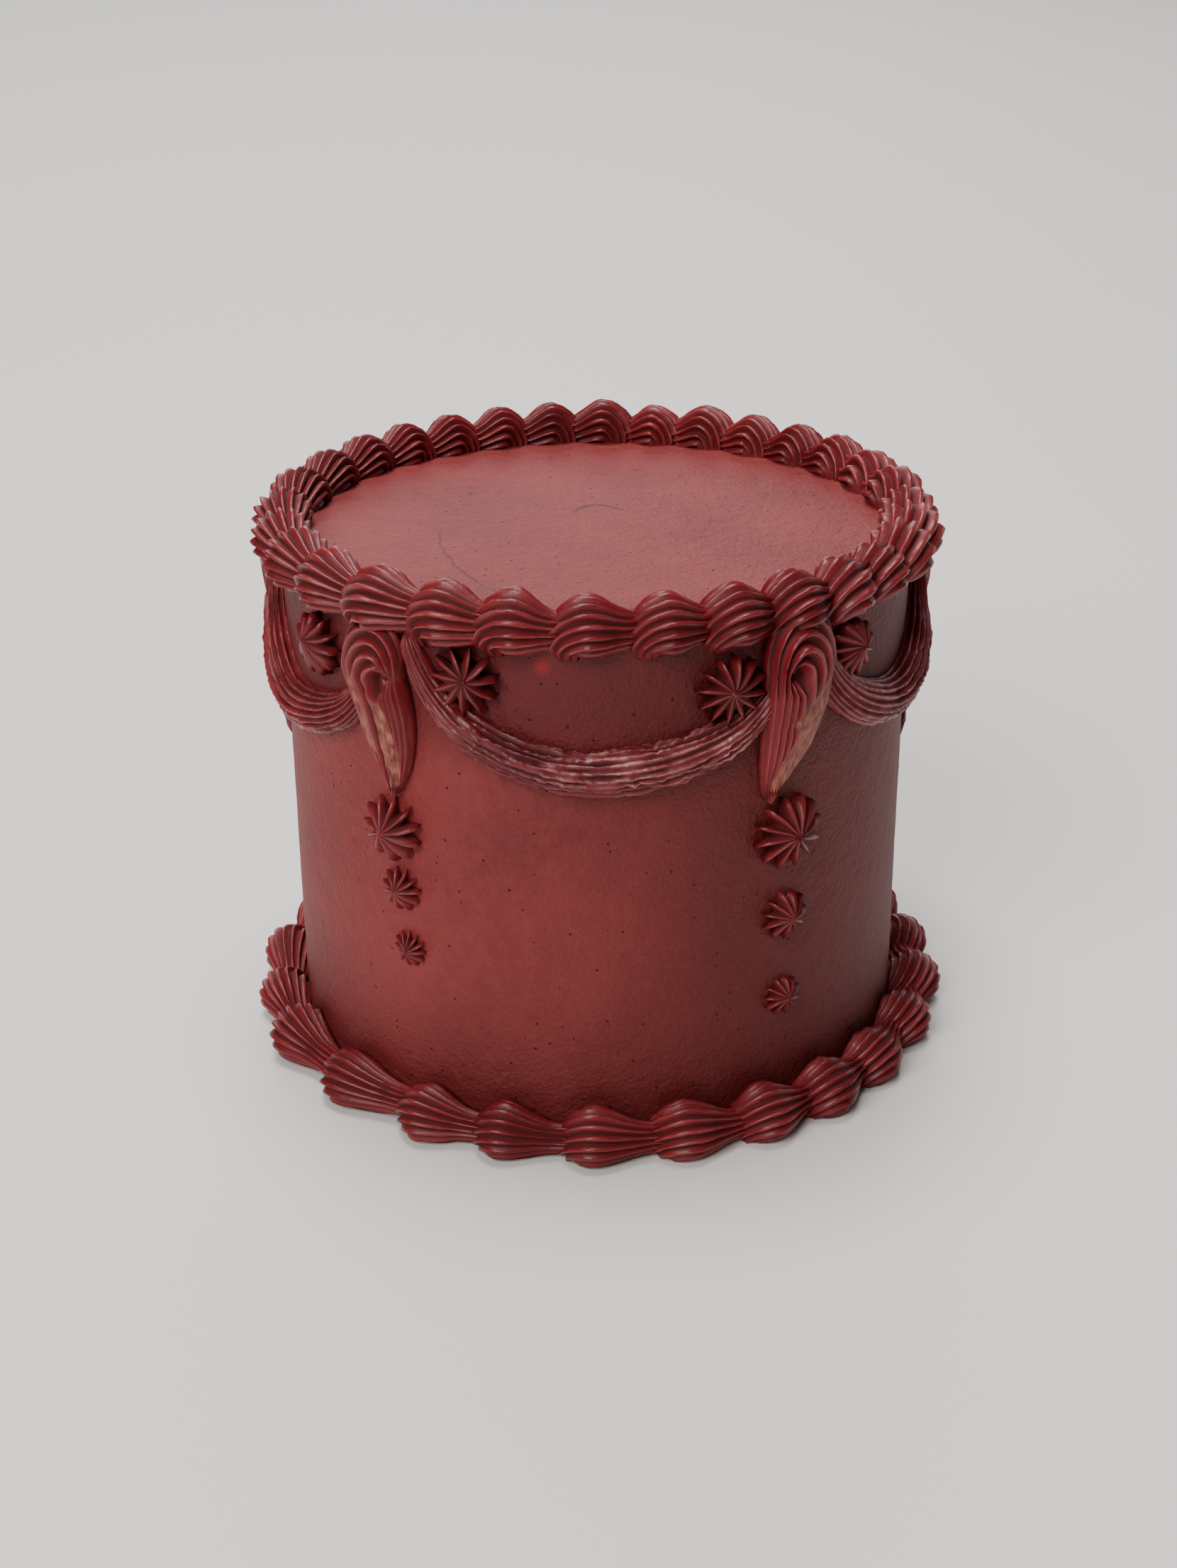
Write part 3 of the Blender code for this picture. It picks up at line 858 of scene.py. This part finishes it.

# Where each painted shade of the side starts and where it is full: the painted shadow in the bays
# between the swags and the top border, the painted shade on the right side, and that at the foot.
BAY_BELOW = (100.0 * MM, 118.0 * MM)
BAY_ABOVE = (CAKE_HEIGHT - 1.0 * MM, CAKE_HEIGHT - 4.0 * MM)
RIGHT_SIDE = (-18.0 * MM, 32.0 * MM)
FOOT = (46.0 * MM, 14.0 * MM)
RED_SPOT_PLACE = on_cake(-9.1, CAKE_RADIUS, 130.7 * MM)
RED_SPOT_EDGE = (2.7 * MM, 0.4 * MM)

# Cracks in the top (mm): the bow's centre and radius, and the crack's middle, reach and half
# width.
Crack = namedtuple("Crack", "centre radius middle reach width")
CRACKS = (Crack((37.4, -3.8), 78.0, (-35.6, -30.6), 29.0, 0.34),
          Crack((0.6, 9.4), 6.8, (0.6, 16.2), 8.8, 0.75))
# How far a crack wanders off its bow, with what noise, and how softly it ends.
CRACK_WANDER, CRACK_NOISE = 4.0 * MM, (150.0, 3.0)
CRACK_SOFT, CRACK_FADE = 0.5, 0.2

# The grain's noises, each a scale and a detail; then the pits' cells, how far a pit reaches
# from its cell's middle, and the share of cells that have none.
FINE_GRAIN, SOFT_GRAIN, MOTTLE = (900.0, 3.0), (260.0, 2.0), (26.0, 3.0)
PIT_CELLS, PIT_EDGE, PITLESS = 330.0, (0.13, 0.05), 0.62
MOTTLE_SPAN, SPECK_SPAN = (0.3, 0.7), (0.75, 1.45)
# How much the fine grain and the pits count in a finish, and its bump's strength and depth.
Grain = namedtuple("Grain", "grain pits strength depth")
SMOOTH_GRAIN = Grain(1.0, 1.2, 0.9, 0.5 * MM)
PIPED_GRAIN = Grain(0.6, 0.0, 0.4, 0.4 * MM)

# Piped icing: the painted shade of its grooves, the two tones that its ridges are mottled with,
# the painted highlight on its crests, and the height from which up the crests have no painted
# highlight.
Piping = namedtuple("Piping", "name groove first second crest fresh_from")
PIPED = Piping("piped_buttercream", (66, 9, 12), (103, 25, 31), (119, 36, 40),
               Coat((168, 84, 84), 0.50), 1.0)
# Darker painted shade in the grooves and a stronger painted highlight on the crests, for worn
# swags.
STRONG_HIGHLIGHT_PIPING = Piping("buttercream_strong_painted_highlight", (52, 8, 10), (92, 22, 28), (120, 42, 46),
               Coat((224, 156, 155), 0.95), 128.0 * MM)
# How softly the painted crest highlight fades out below its height.
HIGHLIGHT_FADE = 18.0 * MM
CRUMB_TONES = ((92, 30, 29), (168, 102, 86))
CRUMB_GRAIN, CRUMB_STREAK, CRUMB_SPAN = (700.0, 4.0), (1.0, 1.0, 0.45), (0.32, 0.72)
# Where a ridge's height turns painted groove shade into ridge, ridge into painted crest highlight
# and dull into glossy, and where the mottle and the grain break up those highlights and torn
# edges.
GROOVE_SPAN, CREST_SPAN, GLOSS_SPAN = (0.0, 0.5), (0.66, 1.0), (0.1, 0.75)
BROKEN_SPAN, CRUMBLY_SPAN, TORN_SPAN = (0.40, 0.60), (0.55, 0.95), (0.35, 0.62)
GROOVE_ROUGHNESS, CREST_ROUGHNESS, CRUMB_ROUGHNESS = 0.8, 0.34, 0.7
SMOOTH_ROUGHNESS, FLOOR_ROUGHNESS = 0.62, 0.6
SMOOTH_SPECULAR, PIPED_SPECULAR, FLOOR_SPECULAR = 0.36, 0.40, 0.5


def linear(red, green, blue):
    """A colour given as it is seen, from 0 to 255, in the values that shaders take."""
    return tuple((value / 255.0) ** 2.2 for value in (red, green, blue)) + (1.0,)


class NodeKit:
    """The few kinds of node that icing needs, in one material or group."""

    def __init__(self, tree):
        self.nodes = tree.nodes
        self.links = tree.links

    def feed(self, socket, value):
        """Gives a socket a fixed value, or links another socket to it."""
        if isinstance(value, bpy.types.NodeSocket):
            self.links.new(value, socket)
        else:
            socket.default_value = value

    def add(self, kind, inputs, **settings):
        """Adds a node with its settings, feeds the inputs named, and returns what it puts out."""
        node = self.nodes.new("ShaderNode" + kind)
        for label, value in settings.items():
            setattr(node, label, value)
        for label, value in inputs.items():
            self.feed(node.inputs[label], value)
        return node.outputs

    def place(self):
        return self.add("TexCoord", {})["Object"]

    def axes(self, place):
        return self.add("SeparateXYZ", {"Vector": place})

    def attribute(self, name):
        return self.add("Attribute", {}, attribute_name=name)["Fac"]

    def noise(self, place, scale, detail):
        return self.add("TexNoise", {"Vector": place, "Scale": scale, "Detail": detail})["Fac"]

    def ramp(self, value, low, high):
        """A value's rise from 0 to 1 between two limits."""
        return self.add("MapRange", {"Value": value, "From Min": low, "From Max": high})["Result"]

    def distance(self, place, other):
        """How far a place is from another, in metres."""
        return self.add("VectorMath", {0: place, 1: other}, operation="DISTANCE")["Value"]

    def math(self, operation, *values):
        return self.add("Math", dict(enumerate(values)), operation=operation)[0]

    def product(self, value, *others):
        for other in others:
            value = self.math("MULTIPLY", value, other)
        return value

    def mix(self, share, first, second, kind="RGBA"):
        """What goes from the first to the second as the share goes from 0 to 1."""
        node = self.nodes.new("ShaderNodeMix")
        node.data_type = kind
        for label, value in (("Factor", share), ("A", first), ("B", second)):
            self.feed(next(s for s in node.inputs if s.name == label and s.enabled), value)
        return next(s for s in node.outputs if s.enabled)

    def coat(self, tone, mask, coat):
        """A tone with a coat's colour over it, where the mask says."""
        return self.mix(self.product(mask, coat.share), tone, linear(*coat.colour))


def new_group(name, places, numbers, results):
    """A node group that takes places and numbers and puts out numbers: the group, its kit,
    what comes in and what goes out."""
    group = bpy.data.node_groups.new(name, "ShaderNodeTree")
    for label in places:
        group.interface.new_socket(name=label, in_out="INPUT", socket_type="NodeSocketVector")
    for label in numbers:
        group.interface.new_socket(name=label, in_out="INPUT", socket_type="NodeSocketFloat")
    for label in results:
        group.interface.new_socket(name=label, in_out="OUTPUT", socket_type="NodeSocketFloat")
    into, out = group.nodes.new("NodeGroupInput"), group.nodes.new("NodeGroupOutput")
    return group, NodeKit(group), into.outputs, out.inputs


def grain_group():
    """Buttercream's own grain: a fine height, a slow mottle, and scattered pits."""
    group, kit, into, out = new_group("icing_grain", (), ("Grain", "Pits"),
                                      ("Height", "Mottle", "Pit"))
    place = kit.place()
    cells = kit.add("TexVoronoi", {"Vector": place, "Scale": PIT_CELLS})
    near = kit.ramp(cells["Distance"], *PIT_EDGE)
    draw = kit.add("SeparateColor", {"Color": cells["Color"]})["Red"]
    pit = kit.product(near, kit.math("GREATER_THAN", draw, PITLESS), into["Pits"])
    fine = kit.product(kit.noise(place, *FINE_GRAIN), into["Grain"])
    height = kit.math("ADD", fine, kit.noise(place, *SOFT_GRAIN))
    kit.feed(out["Height"], kit.math("SUBTRACT", height, pit))
    kit.feed(out["Mottle"], kit.noise(place, *MOTTLE))
    kit.feed(out["Pit"], pit)
    return group


def crack_group():
    """A crack along a bow: a mask that wanders a little and ends away from its middle."""
    group, kit, into, out = new_group("icing_crack", ("Centre", "Middle"),
                                      ("Radius", "Reach", "Width"), ("Mask",))
    place = kit.place()
    wander = kit.math("SUBTRACT", kit.noise(place, *CRACK_NOISE), 0.5)
    off = kit.math("SUBTRACT", kit.distance(place, into["Centre"]), into["Radius"])
    off = kit.math("ADD", off, kit.product(wander, CRACK_WANDER))
    off = kit.math("ABSOLUTE", off)
    line = kit.math("SUBTRACT", 1.0, kit.math("DIVIDE", off, into["Width"]))
    along = kit.math("DIVIDE", kit.distance(place, into["Middle"]), into["Reach"])
    line = kit.ramp(line, 0.0, CRACK_SOFT)
    left = kit.ramp(kit.math("SUBTRACT", 1.0, along), 0.0, CRACK_FADE)
    kit.feed(out["Mask"], kit.product(line, left))
    return group


def crack_in(kit, group, crack):
    """Places one crack on the cake's top, and returns its mask."""
    centre, middle = ((x * MM, y * MM, CAKE_HEIGHT) for x, y in (crack.centre, crack.middle))
    values = {"Centre": centre, "Radius": crack.radius * MM, "Middle": middle,
              "Reach": crack.reach * MM, "Width": crack.width * MM}
    return kit.add("Group", values, node_tree=group)["Mask"]


def start_material(name, specular):
    """A material, its kit and its shader."""
    material = bpy.data.materials.new(name)
    material.use_nodes = True
    kit = NodeKit(material.node_tree)
    shader = kit.nodes["Principled BSDF"]
    kit.feed(shader.inputs["Specular IOR Level"], specular)
    return material, kit, shader


def grain_in(kit, shader, group, look):
    """Puts the grain into a material as a bump, and returns what the group puts out."""
    grain = kit.add("Group", {"Grain": look.grain, "Pits": look.pits}, node_tree=group)
    bump = kit.add("Bump", {"Strength": look.strength, "Distance": look.depth,
                            "Height": grain["Height"]})
    kit.feed(shader.inputs["Normal"], bump["Normal"])
    return grain


def paint_side_shade(kit, tone, place):
    """Paints shade on the side: a painted shadow in the bays under the top border, and painted
    shade on the right side and at the foot.
    """
    axes = kit.axes(place)
    above = kit.ramp(axes["Z"], *BAY_ABOVE)
    # Painted shadow in the bays under the top border.
    tone = kit.coat(tone, kit.product(kit.ramp(axes["Z"], *BAY_BELOW), above), PAINTED_BAY_SHADOW)
    # Painted shade on the right side.
    tone = kit.coat(tone, kit.product(kit.ramp(axes["X"], *RIGHT_SIDE), above), PAINTED_RIGHT_SHADE)
    # Painted shade at the foot.
    return kit.coat(tone, kit.ramp(axes["Z"], *FOOT), PAINTED_FOOT_SHADE)


def smooth_icing(group):
    """Icing smoothed with a spatula: mottled, pitted and cracked, with painted shade in its pits
    and cracks, under the top border, on the right side and at the foot.
    """
    material, kit, shader = start_material("smooth_buttercream", SMOOTH_SPECULAR)
    kit.feed(shader.inputs["Roughness"], SMOOTH_ROUGHNESS)
    grain = grain_in(kit, shader, group, SMOOTH_GRAIN)
    first, second = (linear(*tone) for tone in SMOOTH_TONES)
    tone = kit.mix(kit.ramp(grain["Mottle"], *MOTTLE_SPAN), first, second)
    tone = kit.coat(tone, kit.ramp(grain["Height"], *SPECK_SPAN), SMOOTH_SPECKS)
    place = kit.place()
    tone = paint_side_shade(kit, tone, place)
    from_spot = kit.distance(place, tuple(RED_SPOT_PLACE))
    tone = kit.coat(tone, kit.ramp(from_spot, *RED_SPOT_EDGE), RED_SPOT)
    # Painted shade in the pits.
    tone = kit.coat(tone, grain["Pit"], PAINTED_PIT_SHADE)
    cracks = crack_group()
    # Painted shade along each crack.
    for crack in CRACKS:
        tone = kit.coat(tone, crack_in(kit, cracks, crack), PAINTED_CRACK_SHADE)
    kit.feed(shader.inputs["Base Color"], tone)
    return material


def painted_highlight_mask(kit, grain, ridge, place, fresh_from):
    """Where a ridge's crest takes its painted highlight: broken up, and only below the given
    height.
    """
    painted_highlight_height = kit.ramp(kit.axes(place)["Z"], fresh_from, fresh_from - HIGHLIGHT_FADE)
    return kit.product(kit.ramp(ridge, *CREST_SPAN), kit.ramp(grain["Mottle"], *BROKEN_SPAN),
                       kit.ramp(grain["Height"], *CRUMBLY_SPAN), painted_highlight_height)


def torn_crumb(kit, grain, place):
    """The mask and the tone of the torn strips: dry, with streaks down the drop."""
    drawn = kit.add("Mapping", {"Vector": place, "Scale": CRUMB_STREAK})["Vector"]
    streaks = kit.noise(drawn, *CRUMB_GRAIN)
    first, second = (linear(*tone) for tone in CRUMB_TONES)
    crumb = kit.mix(kit.ramp(streaks, *CRUMB_SPAN), first, second)
    ragged = kit.math("SUBTRACT", grain["Mottle"], 0.5)
    mask = kit.ramp(kit.math("ADD", kit.attribute("torn"), ragged), *TORN_SPAN)
    return mask, crumb


def piped_icing(look, group):
    """Icing out of the nozzle: dull in its grooves, with painted shade there, a painted highlight
    on its crests, and dry where it was torn."""
    material, kit, shader = start_material(look.name, PIPED_SPECULAR)
    grain = grain_in(kit, shader, group, PIPED_GRAIN)
    ridge = kit.attribute("ridge")
    place = kit.place()
    tone = kit.mix(kit.ramp(grain["Mottle"], *MOTTLE_SPAN), linear(*look.first),
                   linear(*look.second))
    # Painted shade in the grooves.
    tone = kit.mix(kit.ramp(ridge, *GROOVE_SPAN), linear(*look.groove), tone)
    # Painted highlight on the crests.
    tone = kit.coat(tone, painted_highlight_mask(kit, grain, ridge, place, look.fresh_from), look.crest)
    torn, crumb = torn_crumb(kit, grain, place)
    gloss = kit.mix(kit.ramp(ridge, *GLOSS_SPAN), GROOVE_ROUGHNESS, CREST_ROUGHNESS, "FLOAT")
    gloss = kit.mix(torn, gloss, CRUMB_ROUGHNESS, "FLOAT")
    kit.feed(shader.inputs["Base Color"], kit.mix(torn, tone, crumb))
    kit.feed(shader.inputs["Roughness"], gloss)
    return material


def floor_material():
    material, kit, shader = start_material("pale_floor", FLOOR_SPECULAR)
    kit.feed(shader.inputs["Roughness"], FLOOR_ROUGHNESS)
    kit.feed(shader.inputs["Base Color"], linear(*FLOOR_TONE))
    return material


# ---- camera and light

CAMERA_PLACE = Vector((-0.00229, -0.59307, 0.33425))
CAMERA_PITCH = math.radians(24.54)
CAMERA_ROLL = -0.0067
CAMERA_LENS = 54.15
CAMERA_SENSOR = 36.0

FLOOR_SIZE = 6.0
FLOOR_TONE = (226, 222, 218)
ROOM_COLOUR = (0.80, 0.79, 0.78, 1.0)
ROOM_STRENGTH = 0.08
# The lights: where they are, their size (m), power (W) and colour.
SoftBox = namedtuple("SoftBox", "name place size power colour")
SOFT_BOXES = (SoftBox("window", (-1.4, -2.45, 2.4), 2.0, 120.0, (1.0, 0.99, 0.98)),
              SoftBox("overhead", (-0.2, 0.4, 3.4), 1.6, 125.0, (1.0, 0.99, 0.98)),
              SoftBox("back_wall", (-0.3, 3.0, 1.6), 2.0, 37.0, (1.0, 0.99, 1.0)),
              SoftBox("far_side", (2.8, 2.0, 1.0), 1.4, 10.0, (1.0, 0.99, 1.0)))


def photo_camera():
    data = bpy.data.cameras.new("photo_view")
    data.lens = CAMERA_LENS
    data.sensor_width = CAMERA_SENSOR
    camera = new_object("photo_view", data)
    tilt = Matrix.Rotation(math.pi / 2 - CAMERA_PITCH, 4, "X")
    roll = Matrix.Rotation(CAMERA_ROLL, 4, "Z")
    camera.matrix_world = Matrix.Translation(CAMERA_PLACE) @ tilt @ roll
    bpy.context.scene.camera = camera


def hang_light(box):
    """Hangs one square light, facing the cake's middle."""
    data = bpy.data.lights.new(box.name, "AREA")
    data.size = box.size
    data.energy = box.power
    data.color = box.colour
    light = new_object(box.name, data)
    aim = Vector((0.0, 0.0, CAKE_HEIGHT / 2)) - Vector(box.place)
    turned = aim.to_track_quat("-Z", "Y").to_matrix().to_4x4()
    light.matrix_world = Matrix.Translation(box.place) @ turned


def studio():
    bpy.ops.mesh.primitive_plane_add(size=FLOOR_SIZE)
    floor = bpy.context.active_object
    floor.name = "floor"
    floor.data.materials.append(floor_material())
    world = bpy.data.worlds.new("pale_room")
    world.use_nodes = True
    backdrop = world.node_tree.nodes["Background"]
    backdrop.inputs["Color"].default_value = ROOM_COLOUR
    backdrop.inputs["Strength"].default_value = ROOM_STRENGTH
    bpy.context.scene.world = world
    for box in SOFT_BOXES:
        hang_light(box)


# ---- the whole cake

# Azimuths between which the top shells had warmed, and how far shells are turned aside.
WARM_SIDE = (36.0, 112.0)
CRISP_YAW, WARM_YAW, BASE_YAW = 3.0, 8.0, 2.0


def softened(azimuth):
    """The shells on the right had warmed: their ridges are fat and round."""
    return WARM_SIDE[0] < azimuth < WARM_SIDE[1]


def top_yaw(azimuth):
    """The warm shells were also piped more across the edge than the others."""
    return WARM_YAW if softened(azimuth) else CRISP_YAW


def dress_borders(piped):
    top = shell_border("top_shells", TOP_RING, TOP_SHELLS, TOP_SEED, top_yaw, softened)
    finish_piece(top, piped, "piped_icing", "top_shell_border")
    base = shell_border("base_shells", BASE_RING, BASE_SHELLS, BASE_SEED,
                        lambda azimuth: BASE_YAW, lambda azimuth: False)
    finish_piece(base, piped, "piped_icing", "base_shell_border")


def dress_stars(piped):
    rng = random.Random(STAR_SEED)
    masters = [star_master(f"star_{teeth}", teeth) for teeth in STAR_TEETH]
    for node in sorted(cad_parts):
        if "star" in node:
            star = star_on(node, node.replace("star", "rosette"), masters, rng)
            finish_piece(star, piped, "piped_icing", node)
    remove(masters)


def dress_swags(piped, strongly_highlit):
    azimuths = [row.azimuth for row in DROPS] + [DROPS[0].azimuth + 360.0]
    for index, row in enumerate(SWAGS):
        start, end = azimuths[index] + row.left, azimuths[index + 1] - row.right
        rope = swag_piece(row, start, end, index)
        # The worn swags get the stronger painted highlight.
        finish_piece(rope, strongly_highlit if row.wear > STRONG_HIGHLIGHT_WEAR else piped, "piped_icing",
                     "swag_" + row.place)


def dress():
    group = grain_group()
    smooth = smooth_icing(group)
    piped, strongly_highlit = piped_icing(PIPED, group), piped_icing(STRONG_HIGHLIGHT_PIPING, group)
    finish_piece(smooth_cake(), smooth, "smooth_icing", "cake_body")
    dress_borders(piped)
    for row in DROPS:
        finish_piece(drop_piece(row), piped, "piped_icing", "drop_" + row.place)
    dress_stars(piped)
    dress_swags(piped, strongly_highlit)


photo_camera()
studio()
dress()
